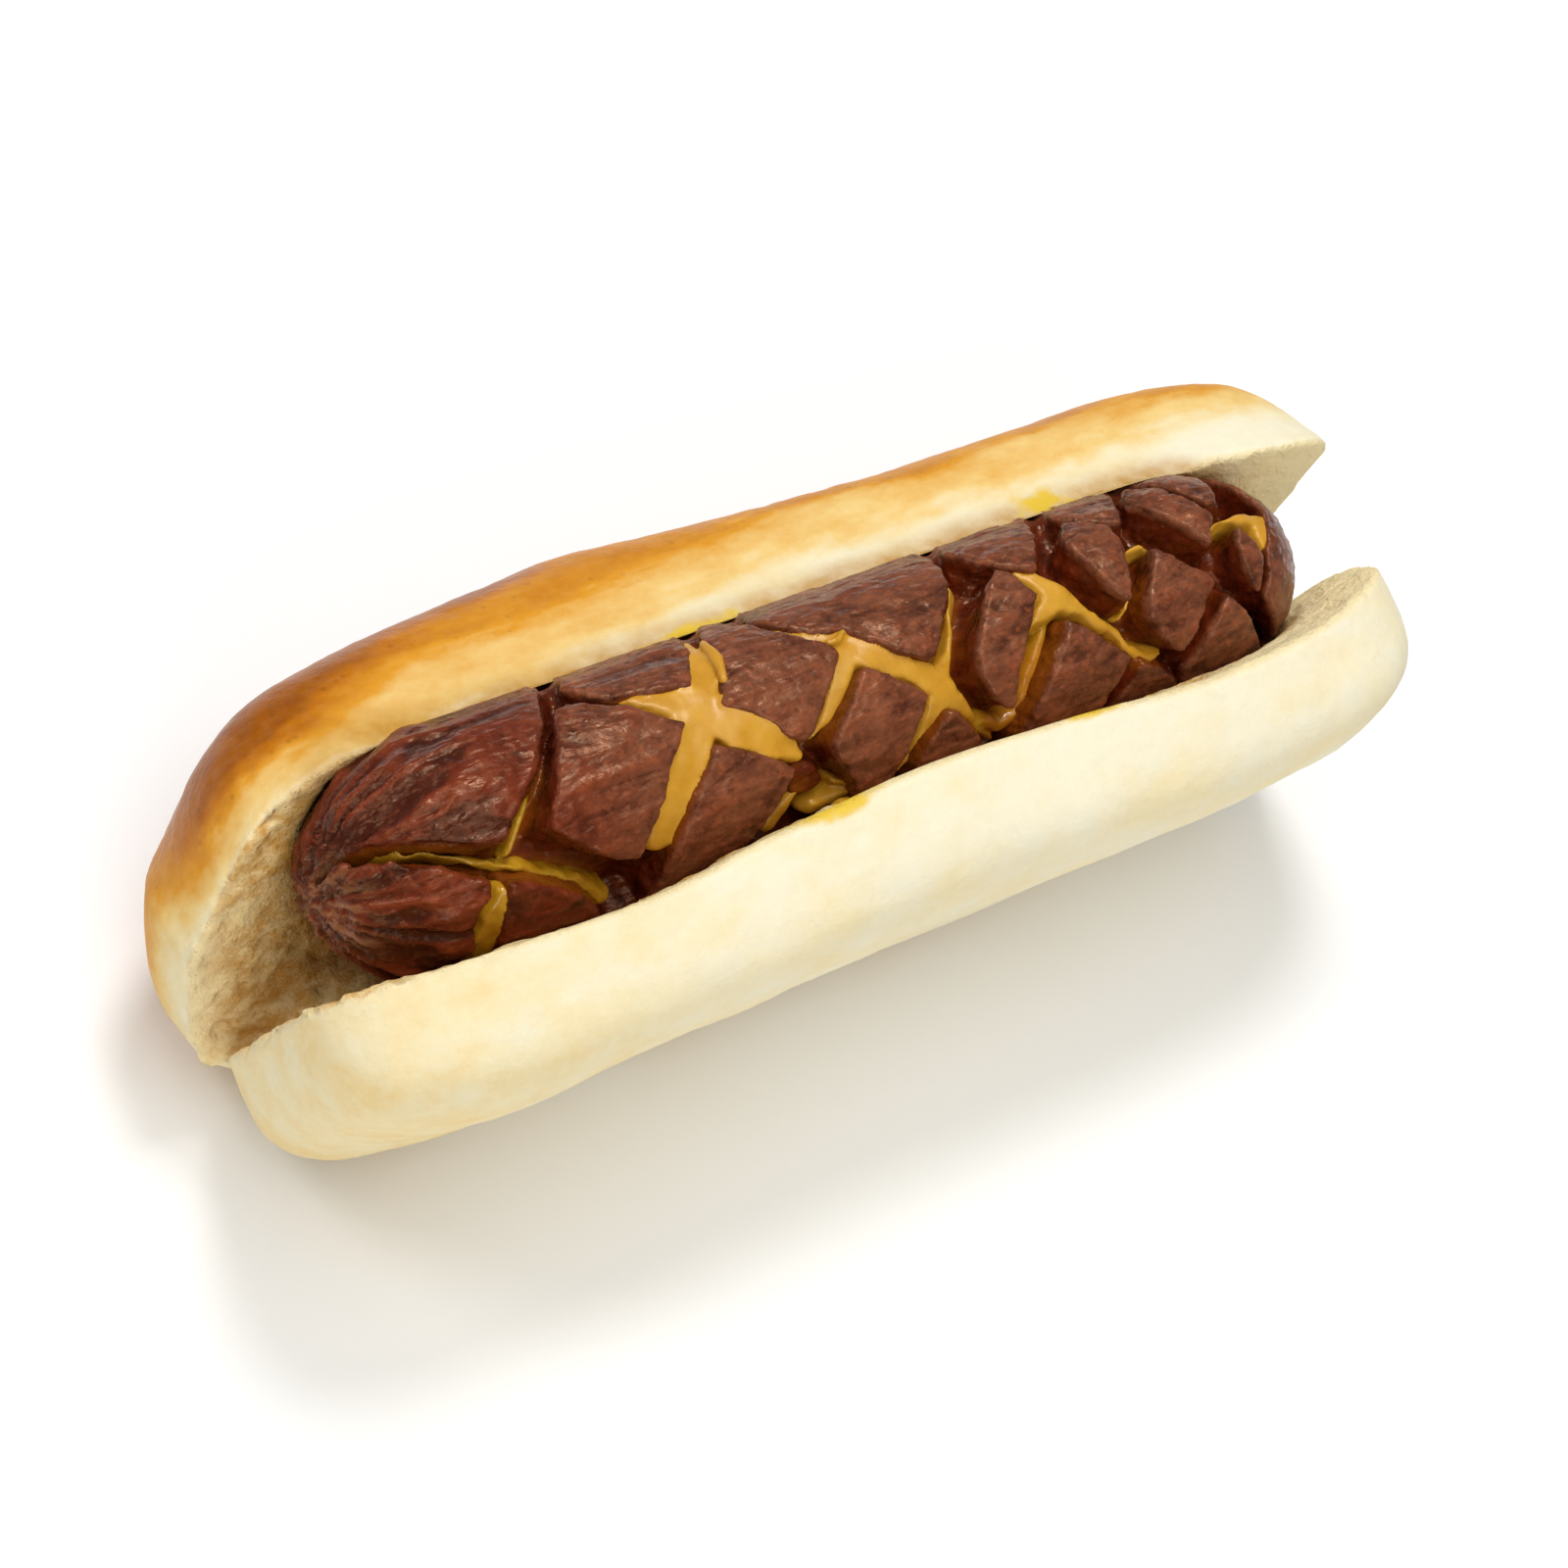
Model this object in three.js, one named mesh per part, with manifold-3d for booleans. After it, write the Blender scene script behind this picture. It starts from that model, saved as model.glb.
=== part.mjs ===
// A hot dog: a scored frankfurter in a side-cut soft roll, with mustard in the scores.
// Units are millimetres, +Z is up and the roll runs along X. The roll is hinged along
// its underside and opens upwards in a V; the half at -Y was the tray side of the roll
// (flat, pale), the half at +Y its domed top.
import * as THREE from "three";
import { mergeVertices } from "three/addons/utils/BufferGeometryUtils.js";
import Module from "manifold-3d";

const wasm = await Module();
wasm.setup();

// Driving dimensions. Angles are in degrees.
const rollLength = 160;
const sideSegments = 56; // points round each half
const cutRings = 4; // rings from the middle of a cut face to its rim
const domeRings = 9; // rings from the rim over the crust to the middle of the dome

// A soft roll is uneven along its length: lean from the vertical and swell, what is added
// to the thickness, are given at these stations along the roll and blended between them.
const stations = [-80, -60, -40, -20, 0, 20, 40, 60, 80];
const blendReach = 14;
const nearHalf = {
  side: -1,
  width: 44.1, // hinge to lip
  hinge: 7.6, // side wall below the hinge line
  thickness: 17,
  lean: [20.1, 23.1, 24.4, 21.7, 20.2, 21.3, 24.0, 23.1, 17.4],
  swell: [2.7, 1.5, -0.9, 0.3, 0.3, 0.1, -1.1, -0.7, 1.8],
  swellByHeight: 0, // 1: the swell grows from none at the hinge to all at the lip
  endPower: 5.6, // how square the ends are, seen square to the cut face
  lipPower: 5.2,
  wall: 0, // straight side wall before the crust turns over
  crustPower: 4.5,
  endShift: [2.1, 0.9], // left, right: how far each end is moved towards +X
  endHollow: [0.2, -4.2], // how far each end of the cut face is scooped out, or puffed
  lipTrim: 0, // rounds the left corner of the lip
  lipReach: 0, // draws out the right corner of the lip
};
const farHalf = {
  side: 1,
  width: 39.2,
  hinge: 6,
  thickness: 26.8,
  lean: [17.6, 19.8, 21.0, 21.6, 21.6, 21.0, 19.6, 17.8, 14.8],
  swell: [1.6, -1.3, 1.2, 3.6, 1.3, -1.0, -1.7, 0.5, 2.1],
  swellByHeight: 1,
  endPower: 7.3,
  lipPower: 5.9,
  wall: 13.2,
  crustPower: 3.5,
  endShift: [-0.4, -1.1],
  endHollow: [0, 3.4],
  lipTrim: 0.26,
  lipReach: 0.36,
};

const sausage = {
  length: 141.4,
  radius: 14.3,
  tail: 20, // length over which each end rounds off
  tailPower: 2.2,
  centre: [1.0, 1.2, 28.5], // from the hinge line
  roundSegments: 36,
};
// The uncut crumb and crust that join the halves: a bar along the hinge line.
const web = {
  reach: [-71, 67],
  halfWidth: 13,
  under: 8.9, // below the hinge line
  over: 10.5, // above it, so the cut ends in a rounded bottom
  roundSegments: 20,
};
const clearance = 0.35; // between touching pieces
const bottomTrim = 0.8; // what the resting flat takes off the underside

// Scores: where each starts and ends, as [distance along the sausage from its middle,
// degrees round it from the top towards -Y], its width at the skin and its depth.
// sauceTop is how far the sauce in it stays below the skin.
const scores = [
  { from: [-38, -50], to: [-57, 88], width: 3.6, depth: 6.2, sauceTop: 3.6 },
  { from: [-19, -42], to: [-41, 95], width: 6.0, depth: 7.0, sauceTop: 0.9 },
  { from: [-0.5, -34], to: [-18.5, 80], width: 4.6, depth: 6.6, sauceTop: 0.9 },
  { from: [15.5, -24], to: [1.5, 72], width: 3.8, depth: 6.2, sauceTop: 1.0 },
  { from: [30.5, -30], to: [15.5, 77], width: 4.2, depth: 6.4, sauceTop: 1.6 },
  { from: [41.5, -16], to: [32, 54], width: 3.6, depth: 6.0, sauceTop: 1.2 },
  { from: [54, -12], to: [46.5, 48], width: 3.8, depth: 5.6, sauceTop: 1.0 },
  { from: [-70, 12], to: [-34, 93], width: 3.4, depth: 5.2, sauceTop: 1.6 },
  { from: [-37, -45], to: [-11.5, 50], width: 5.0, depth: 6.6, sauceTop: 0.9 },
  { from: [-13.5, -38], to: [17.5, 77], width: 4.8, depth: 6.6, sauceTop: 0.8 },
  { from: [20.5, -14], to: [39, 72], width: 4.2, depth: 6.2, sauceTop: 1.0 },
  { from: [37.5, -8], to: [52, 38], width: 3.6, depth: 5.6, sauceTop: 1.0 },
  { from: [51, -6], to: [60, 30], width: 3.8, depth: 5.2, sauceTop: 0.9 },
];
const scoreFloor = 1.8; // width of a score at its bottom
const sauceGap = 0.42; // sauce to the walls of a score

const rad = (degrees) => (degrees * Math.PI) / 180;
const power = (value, exponent) =>
  Math.sign(value) * Math.abs(value) ** exponent;

// Points round a half's cut face, evenly spaced: x along the roll, s from the hinge.
function rimPoints(half) {
  const halfWidth = (half.width + half.hinge) / 2;
  const middle = (half.width - half.hinge) / 2;
  const dense = [];
  for (let i = 0; i < 1440; i++) {
    const t = (i / 1440) * 2 * Math.PI;
    let x = (rollLength / 2) * power(Math.cos(t), 2 / half.endPower);
    const s = halfWidth * power(Math.sin(t), 2 / half.lipPower);
    x += half.endShift[x > 0 ? 1 : 0] * (x / 80) ** 2;
    dense.push([x, middle + s]);
  }
  const lengths = [0];
  dense.forEach(([x, s], i) => {
    const [x1, s1] = dense[(i + 1) % dense.length];
    lengths.push(lengths[i] + Math.hypot(x1 - x, s1 - s));
  });
  const total = lengths[dense.length];
  const points = [];
  let k = 0;
  for (let i = 0; i < sideSegments; i++) {
    const wanted = (i / sideSegments) * total;
    while (lengths[k + 1] < wanted) k++;
    points.push(dense[k]);
  }
  return points;
}

// What a table of the stations' values gives at x.
function along(table, x) {
  let sum = 0;
  let weights = 0;
  stations.forEach((at, i) => {
    const weight = Math.exp(-(((x - at) / blendReach) ** 2));
    sum += weight * table[i];
    weights += weight;
  });
  return sum / weights;
}

// A point of a half: x along the roll, s up from the hinge, n out from the cut face.
function placed(half, x, s, n) {
  const lean = rad(along(half.lean, x));
  return [
    x,
    half.side * (Math.sin(lean) * s + Math.cos(lean) * n),
    Math.cos(lean) * s - Math.sin(lean) * n,
  ];
}

// One ring of a half, drawn in to alongX and acrossS of the rim, depth n from the face.
function halfRing(half, rim, alongX, acrossS, b) {
  const middle = (half.width - half.hinge) / 2;
  return rim.map(([rimX, rimS]) => {
    let x = rimX * alongX;
    const s = middle + (rimS - middle) * acrossS;
    const share = (s + half.hinge) / (half.width + half.hinge);
    if (x > 0) x *= 1 + half.lipReach * (share - 0.5);
    else x *= 1 - half.lipTrim * Math.max(0, share - 0.5);
    const w = Math.min(1, Math.max(0, s / half.width));
    const hollow =
      half.endHollow[x > 0 ? 1 : 0] * Math.abs(x / 80) ** 3 * 4 * w * (1 - w);
    const swell =
      along(half.swell, x) * (1 - half.swellByHeight * (1 - share));
    return placed(
      half,
      x,
      s,
      b * (half.thickness + swell) + hollow * (1 - b),
    );
  });
}

// Closes a stack of rings into a manifold solid.
function solidFromRings(start, rings, end) {
  const positions = [...start];
  rings.forEach((ring) => ring.forEach((p) => positions.push(...p)));
  positions.push(...end);
  const n = rings[0].length;
  const last = 1 + rings.length * n;
  const index = [];
  for (let i = 0; i < n; i++) {
    const j = (i + 1) % n;
    index.push(0, 1 + j, 1 + i);
    for (let r = 0; r + 1 < rings.length; r++) {
      const a = 1 + r * n;
      const b = a + n;
      index.push(a + i, a + j, b + j, a + i, b + j, b + i);
    }
    const c = last - n;
    index.push(last, c + i, c + j);
  }
  return manifoldOf(positions, index);
}

function manifoldOf(positions, index) {
  let geometry = new THREE.BufferGeometry();
  geometry.setAttribute(
    "position",
    new THREE.BufferAttribute(new Float32Array(positions), 3),
  );
  geometry.setIndex(index);
  geometry = mergeVertices(geometry, 1e-4);
  const triVerts = new Uint32Array(geometry.index.array);
  const vertProperties = geometry.attributes.position.array;
  const make = () =>
    new wasm.Manifold(
      new wasm.Mesh({ numProp: 3, vertProperties, triVerts }),
    );
  const solid = make();
  if (solid.volume() > 0) return solid;
  for (let i = 0; i < triVerts.length; i += 3)
    [triVerts[i + 1], triVerts[i + 2]] = [triVerts[i + 2], triVerts[i + 1]];
  return make();
}

function halfSolid(half) {
  const rim = rimPoints(half);
  const middle = (half.width - half.hinge) / 2;
  const rings = [];
  for (let r = 1; r <= cutRings; r++)
    rings.push(halfRing(half, rim, r / cutRings, r / cutRings, 0));
  for (let r = 1; r < domeRings; r++) {
    const b = Math.sin((r / domeRings) * (Math.PI / 2)) ** 0.8;
    const n = b * half.thickness;
    const round = (1 - b ** half.crustPower) ** (1 / half.crustPower);
    let across = round;
    if (half.wall > 0)
      across =
        n < half.wall
          ? 1
          : Math.sqrt(
              1 - ((n - half.wall) / (half.thickness - half.wall)) ** 2,
            );
    rings.push(halfRing(half, rim, round, across, b));
  }
  return solidFromRings(
    placed(half, 0, middle, 0),
    rings,
    placed(
      half,
      0,
      middle,
      half.thickness + along(half.swell, 0) * (1 - half.swellByHeight / 2),
    ),
  );
}

// Radius of the sausage at x from its middle.
function radiusAt(x) {
  const { length, radius, tail, tailPower } = sausage;
  const v = (Math.abs(x) - (length / 2 - tail)) / tail;
  return v <= 0 ? radius : radius * Math.sqrt(Math.max(0, 1 - v ** tailPower));
}

// A point on or in the sausage: x from its middle, degrees from the top towards -Y.
function roundPoint(x, degrees, r) {
  const [cx, cy, cz] = sausage.centre;
  const a = rad(degrees);
  return [cx + x, cy - r * Math.sin(a), cz + r * Math.cos(a)];
}

function sausageSolid(offset) {
  const { length, tail, roundSegments } = sausage;
  const stations = [];
  const straight = length / 2 - tail;
  for (let i = 0; i < 8; i++)
    stations.push(-straight + (2 * straight * i) / 7);
  for (const v of [0.3, 0.52, 0.7, 0.84, 0.94, 0.985])
    stations.push(straight + v * tail, -straight - v * tail);
  stations.sort((a, b) => a - b);
  const rings = stations.map((x) => {
    const ring = [];
    for (let i = 0; i < roundSegments; i++)
      ring.push(
        roundPoint(
          x * (1 + (2 * offset) / length),
          (i / roundSegments) * 360,
          radiusAt(x) + offset,
        ),
      );
    return ring;
  });
  const reach = length / 2 + offset;
  return solidFromRings(
    roundPoint(-reach, 0, 0),
    rings,
    roundPoint(reach, 0, 0),
  );
}

// The wedge of a score, or with inset > 0 the sauce that lies in it.
function scoreSolid(score, inset) {
  const [x0, a0] = score.from;
  const [x1, a1] = score.to;
  const perDegree = rad(1) * sausage.radius;
  const dx = x1 - x0;
  const dArc = (a1 - a0) * perDegree;
  const run = Math.hypot(dx, dArc);
  const steps = Math.max(6, Math.round(run / 4));
  const rings = [];
  for (let i = 0; i <= steps; i++) {
    const t = inset > 0 ? 0.07 + (0.86 * i) / steps : i / steps;
    const fade = Math.min(1, (Math.min(t, 1 - t) * run) / 5 + 0.12);
    const x = x0 + dx * t;
    const angle = a0 + (a1 - a0) * t;
    const skin = radiusAt(x);
    const depth = score.depth * fade ** 0.8;
    const topHalf = (score.width / 2) * (0.35 + 0.65 * fade);
    const floorHalf = Math.min(scoreFloor / 2, topHalf * 0.8);
    const above = 2;
    let low = depth;
    let high = -above;
    let lowHalf = floorHalf;
    let highHalf = topHalf + ((topHalf - floorHalf) * above) / depth;
    if (inset > 0) {
      const slope = (topHalf - floorHalf) / depth;
      low = Math.max(depth - inset * 1.3, score.sauceTop + 0.5);
      high = Math.min(score.sauceTop, depth - 1.4);
      lowHalf = floorHalf + slope * (depth - low) - inset * 1.1;
      highHalf = floorHalf + slope * (depth - high) - inset * 1.1;
    }
    const ring = [
      [low, -lowHalf],
      [low, lowHalf],
      [high, highHalf],
      [high, -highHalf],
    ].map(([down, out]) => {
      const r = skin - down;
      const alongX = (-dArc / run) * out;
      const alongArc = (dx / run) * out;
      return roundPoint(x + alongX, angle + alongArc / perDegree, r);
    });
    rings.push(ring);
  }
  const centreOf = (ring) =>
    [0, 1, 2].map((k) => ring.reduce((sum, p) => sum + p[k], 0) / 4);
  return solidFromRings(
    centreOf(rings[0]),
    rings,
    centreOf(rings[rings.length - 1]),
  );
}

// The bar along the hinge, rounded at both ends.
function webSolid() {
  const [start, finish] = web.reach;
  const half = (finish - start) / 2;
  const middle = (start + finish) / 2;
  const stations = [0.02, 0.12, 0.35, 0.65, 1, 1.35, 1.65, 1.88, 1.98];
  const rings = stations.map((f) => {
    const swell = Math.max(0, 1 - Math.abs(f - 1) ** 6) ** 0.4;
    const ring = [];
    for (let i = 0; i < web.roundSegments; i++) {
      const a = (i / web.roundSegments) * 2 * Math.PI;
      const up = power(Math.cos(a), Math.cos(a) < 0 ? 0.6 : 1);
      const out = power(Math.sin(a), up < 0 ? 0.8 : 1);
      ring.push([
        middle + half * (f - 1),
        -web.halfWidth * swell * out,
        up * swell * (up > 0 ? web.over : web.under),
      ]);
    }
    return ring;
  });
  return solidFromRings([start, 0, 0], rings, [finish, 0, 0]);
}

const unionOf = (solids) => solids.reduce((a, b) => a.add(b));

const hollow = sausageSolid(clearance);
let bun = unionOf([
  halfSolid(nearHalf),
  halfSolid(farHalf),
  webSolid(),
]).subtract(hollow);
const ground = bun.boundingBox().min[2] + bottomTrim;
const below = wasm.Manifold.cube([400, 400, 100], true).translate([
  0,
  0,
  ground - 50,
]);
bun = bun.subtract(below);
const frank = sausageSolid(0).subtract(
  unionOf(scores.map((s) => scoreSolid(s, 0))),
);
const sauce = unionOf(scores.map((s) => scoreSolid(s, sauceGap)));

const pieces = [
  { name: "bun", solid: bun, color: 0xe6c383, roughness: 0.75 },
  { name: "sausage", solid: frank, color: 0x6b2c1c, roughness: 0.42 },
  { name: "sauce", solid: sauce, color: 0xd99a32, roughness: 0.3 },
];

// The frame's origin is the bottom centre of everything.
const low = [Infinity, Infinity, Infinity];
const high = [-Infinity, -Infinity, -Infinity];
for (const { solid } of pieces) {
  const box = solid.boundingBox();
  for (let k = 0; k < 3; k++) {
    low[k] = Math.min(low[k], box.min[k]);
    high[k] = Math.max(high[k], box.max[k]);
  }
}
const origin = [(low[0] + high[0]) / 2, (low[1] + high[1]) / 2, low[2]];

const hotDog = new THREE.Group();
for (const { name, solid, color, roughness } of pieces) {
  const made = solid.translate(origin.map((v) => -v)).getMesh();
  const positions = new Float32Array(made.numVert * 3);
  for (let i = 0; i < made.numVert; i++)
    for (let k = 0; k < 3; k++)
      positions[3 * i + k] = made.vertProperties[made.numProp * i + k];
  const geometry = new THREE.BufferGeometry();
  geometry.setAttribute("position", new THREE.BufferAttribute(positions, 3));
  geometry.setIndex(new THREE.BufferAttribute(made.triVerts, 1));
  geometry.computeVertexNormals();
  const mesh = new THREE.Mesh(
    geometry,
    new THREE.MeshStandardMaterial({ color, roughness, metalness: 0 }),
  );
  mesh.name = name;
  hotDog.add(mesh);
}

export default hotDog;
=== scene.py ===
import functools
import math
import bpy
import numpy as np
from mathutils import Matrix, Vector


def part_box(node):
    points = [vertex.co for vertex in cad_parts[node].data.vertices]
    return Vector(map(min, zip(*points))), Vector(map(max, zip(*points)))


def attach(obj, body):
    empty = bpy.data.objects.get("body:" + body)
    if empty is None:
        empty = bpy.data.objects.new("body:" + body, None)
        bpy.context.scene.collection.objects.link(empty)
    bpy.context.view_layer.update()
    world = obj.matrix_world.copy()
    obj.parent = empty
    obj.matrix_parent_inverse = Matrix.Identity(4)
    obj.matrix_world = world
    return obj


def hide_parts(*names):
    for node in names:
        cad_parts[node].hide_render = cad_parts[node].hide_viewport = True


# A hot dog in a side-cut roll. Shapes are worked out in millimetres from the roll's hinge line
# (x along the roll, y across, z up) and moved into the frame when each mesh is made.
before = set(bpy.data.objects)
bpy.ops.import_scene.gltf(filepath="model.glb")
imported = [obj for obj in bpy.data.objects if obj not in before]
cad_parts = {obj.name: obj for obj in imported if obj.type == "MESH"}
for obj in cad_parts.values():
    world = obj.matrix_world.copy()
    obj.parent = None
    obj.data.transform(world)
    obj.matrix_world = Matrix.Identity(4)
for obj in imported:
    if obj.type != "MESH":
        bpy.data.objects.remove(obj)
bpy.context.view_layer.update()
print("frame loaded")

# The middle of the sausage is known from the hinge line and in the frame, which ties the two together.
sausageCentre = (1.0, 1.2, 28.5)
low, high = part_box("sausage")
toFrame = (np.array(low) + np.array(high)) * 500 - np.array(sausageCentre)


# Small tools for numbers and noise
def srgb(code):
    parts = [int(code[i:i + 2], 16) / 255 for i in (1, 3, 5)]
    return tuple(c / 12.92 if c <= 0.04045 else ((c + 0.055) / 1.055) ** 2.4 for c in parts) + (1.0,)


def ramp(value, start, end):
    t = np.clip((value - start) / (end - start), 0, 1)
    return t * t * (3 - 2 * t)


def softMax(a, b, width):
    near = np.maximum(width - np.abs(a - b), 0) / width
    return np.maximum(a, b) + near * near * width / 4


def softMin(a, b, width):
    return -softMax(-a, -b, width)


def power(value, exponent):
    return np.sign(value) * np.abs(value) ** exponent


def lattice(cell, seed):
    # A repeatable number from -1 to 1 for each whole-number cell, by mixing with large primes.
    h = cell[0] * 374761393 + cell[1] * 668265263 + cell[2] * 1440662683 + seed * 1274126177
    h = ((h ^ (h >> 13)) * 1274126177) & 0xFFFFFFFF
    h = (h ^ (h >> 16)) & 0x7FFFFFFF
    return h / 0x3FFFFFFF - 1.0


def softNoise(points, size, seed):
    q = np.asarray(points, float).T / np.reshape(size, (-1, 1))
    cell = np.floor(q).astype(np.int64)
    f = q - cell
    f = f * f * f * (f * (f * 6 - 15) + 10)
    total = np.zeros(q.shape[1])
    for corner in np.ndindex(2, 2, 2):
        side = [f[k] if corner[k] else 1 - f[k] for k in range(3)]
        total += side[0] * side[1] * side[2] * lattice([cell[k] + corner[k] for k in range(3)], seed)
    return total


def noise(points, size, seed, layers=3):
    # Each layer is half the size of the one before and weaker.
    size = np.asarray(size, float)
    total = np.zeros(len(points))
    for k in range(layers):
        total += softNoise(points + 37.7 * k, size / 2 ** k, seed + k) / 1.8 ** k
    return total


def pitNoise(points, size, seed):
    # Distance to the nearest of one scattered point per cell, in cell sizes.
    q = np.asarray(points, float).T / size
    cell = np.floor(q).astype(np.int64)
    best = np.full(q.shape[1], 9.0)
    for corner in np.ndindex(3, 3, 3):
        c = [cell[k] + corner[k] - 1 for k in range(3)]
        gap = sum((c[k] + 0.5 + 0.45 * lattice(c, seed + k) - q[k]) ** 2 for k in range(3))
        best = np.minimum(best, gap)
    return np.sqrt(best)


# Small tools for meshes
def addObject(name, data):
    piece = bpy.data.objects.new(name, data)
    bpy.context.scene.collection.objects.link(piece)
    return piece


def makeObject(name, points, faces):
    mesh = bpy.data.meshes.new(name)
    mesh.from_pydata(((np.asarray(points, float) + toFrame) / 1000).tolist(), [], faces)
    mesh.validate()
    return addObject(name, mesh)


def settle(piece):
    # Turns the modifiers into plain mesh.
    shown = piece.evaluated_get(bpy.context.evaluated_depsgraph_get())
    mesh = bpy.data.meshes.new_from_object(shown)
    piece.modifiers.clear()
    old = piece.data
    piece.data = mesh
    mesh.name = piece.name
    bpy.data.meshes.remove(old)


def soften(piece, factor, rounds):
    modifier = piece.modifiers.new("soften", "SMOOTH")
    modifier.factor = factor
    modifier.iterations = rounds
    settle(piece)


def thinOut(piece, triangles):
    count = sum(len(p.vertices) - 2 for p in piece.data.polygons)
    if count > triangles:
        modifier = piece.modifiers.new("thinOut", "DECIMATE")
        modifier.ratio = triangles / count
        settle(piece)


def readVectors(source, name):
    values = np.zeros(len(source) * 3, np.float32)
    source.foreach_get(name, values)
    return values.reshape(-1, 3).astype(float)


def readPoints(piece):
    return readVectors(piece.data.vertices, "co") * 1000 - toFrame


def pushOut(piece, points, move):
    # The points, each moved out of the surface by its own distance.
    return points + readVectors(piece.data.vertex_normals, "vector") * move[:, None]


def writePoints(piece, points):
    piece.data.vertices.foreach_set("co", ((points + toFrame) / 1000).astype(np.float32).ravel())
    piece.data.update()


def writeValues(piece, **layers):
    # One number for each point under each name, which the materials read.
    for name, values in layers.items():
        layer = piece.data.attributes.new(name, "FLOAT", "POINT")
        layer.data.foreach_set("value", np.asarray(values, np.float32))


def finishMesh(piece, material):
    piece.data.polygons.foreach_set("use_smooth", [True] * len(piece.data.polygons))
    piece.data.materials.append(material)
    print(piece.name, len(piece.data.polygons), "faces")


def gridOver(lowest, highest, step):
    axes = [np.arange(a, b + step, step) for a, b in zip(lowest, highest)]
    grid = np.stack(np.meshgrid(*axes, indexing="ij"), -1).reshape(-1, 3)
    return grid, tuple(len(a) for a in axes)


def surfaceNet(field, shape, start, step):
    # The surface where the field is 0: a point in each cell it crosses, four-sided faces between cells.
    f = field.reshape(shape)
    inside = f < 0
    cells = tuple(n - 1 for n in shape)
    corners = list(np.ndindex(2, 2, 2))
    filled = np.zeros(cells, np.int8)
    for a, b, c in corners:
        filled += inside[a:a + cells[0], b:b + cells[1], c:c + cells[2]]
    active = (filled > 0) & (filled < 8)
    index = np.full(cells, -1, np.int32)
    index[active] = np.arange(active.sum())
    at = np.stack(np.nonzero(active))
    total = np.zeros((3, at.shape[1]))
    count = np.zeros(at.shape[1])
    for axis in range(3):
        for corner in corners:
            if corner[axis]:
                continue
            other = list(corner)
            other[axis] = 1
            fa = f[tuple(at[k] + corner[k] for k in range(3))]
            fb = f[tuple(at[k] + other[k] for k in range(3))]
            crosses = (fa < 0) != (fb < 0)
            t = np.where(crosses, fa / np.where(crosses, fa - fb, 1), 0)
            for k in range(3):
                total[k] += crosses * (corner[k] + (t if k == axis else 0))
            count += crosses
    points = np.array(start) + (at + total / count).T * step
    quads = []
    for axis in range(3):
        u, v = [k for k in range(3) if k != axis]
        first = [slice(None)] * 3
        second = [slice(None)] * 3
        first[axis] = slice(0, -1)
        second[axis] = slice(1, None)
        near = inside[tuple(first)]
        change = near != inside[tuple(second)]
        for k in (u, v):
            edge = [slice(None)] * 3
            edge[k] = [0, -1]
            change[tuple(edge)] = False
        c = np.stack(np.nonzero(change))
        turned = near[tuple(c)]
        ring = []
        for back in ((), (u,), (u, v), (v,)):
            q = c.copy()
            for k in back:
                q[k] -= 1
            ring.append(index[tuple(q)])
        quad = np.stack(ring, 1)
        flip = turned if axis != 1 else ~turned
        quad[~flip] = quad[~flip][:, ::-1]
        quads.append(quad)
    return points, np.vstack(quads).tolist()


def ringSkin(rings, start, end):
    # Closes a stack of rings (each N points) with a point at either end.
    count = len(rings[0])
    points = np.vstack([np.array([start])] + rings + [np.array([end])])
    last = len(points) - 1
    faces = []
    for i in range(count):
        j = (i + 1) % count
        faces.append((0, 1 + j, 1 + i))
        faces.append((last, last - count + i, last - count + j))
    for r in range(len(rings) - 1):
        a = 1 + r * count
        b = a + count
        for i in range(count):
            j = (i + 1) % count
            faces.append((a + i, a + j, b + j, b + i))
    return points, faces


# Small tools for materials
def addNode(tree, kind, settings, output=0):
    # A socket given as a setting is linked, and a hex code is a colour.
    node = tree.nodes.new("ShaderNode" + kind)
    for key, value in settings.items():
        if isinstance(key, str) and key not in node.inputs:
            setattr(node, key, value)
        elif isinstance(value, bpy.types.NodeSocket):
            tree.links.new(value, node.inputs[key])
        else:
            node.inputs[key].default_value = srgb(value) if isinstance(value, str) else value
    return node.outputs[output] if node.outputs else None


def newMaterial(name):
    # The material, and addNode for its nodes.
    material = bpy.data.materials.new(name)
    material.use_nodes = True
    material.node_tree.nodes.clear()
    return material, functools.partial(addNode, material.node_tree)


def pattern(add, size, detail, rough, along=1):
    # Noise with a grain of this many mm, drawn out along the part where along is below 1.
    place = add("Mapping", {"Vector": add("TexCoord", {}, "Object"), "Scale": (along, 1, 1)})
    return add("TexNoise", {"Vector": place, "Scale": 1000 / size, "Detail": detail, "Roughness": rough})


def graded(add, source, start, end, low=0, high=1):
    # A value written on the mesh, or a pattern: what lies from start to end is spread from low to high.
    if isinstance(source, str):
        source = add("Attribute", {"attribute_name": source}, "Fac")
    return add("MapRange", {"Value": source, "From Min": start, "From Max": end,
                            "To Min": low, "To Max": high})


def tint(add, under, over, mask, share=1):
    # One colour laid over another where the mask is, at this share.
    mask = add("Math", {"operation": "MULTIPLY", 0: mask, 1: share})
    return add("Mix", {"data_type": "RGBA", 0: mask, 6: under, 7: over}, 2)


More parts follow.
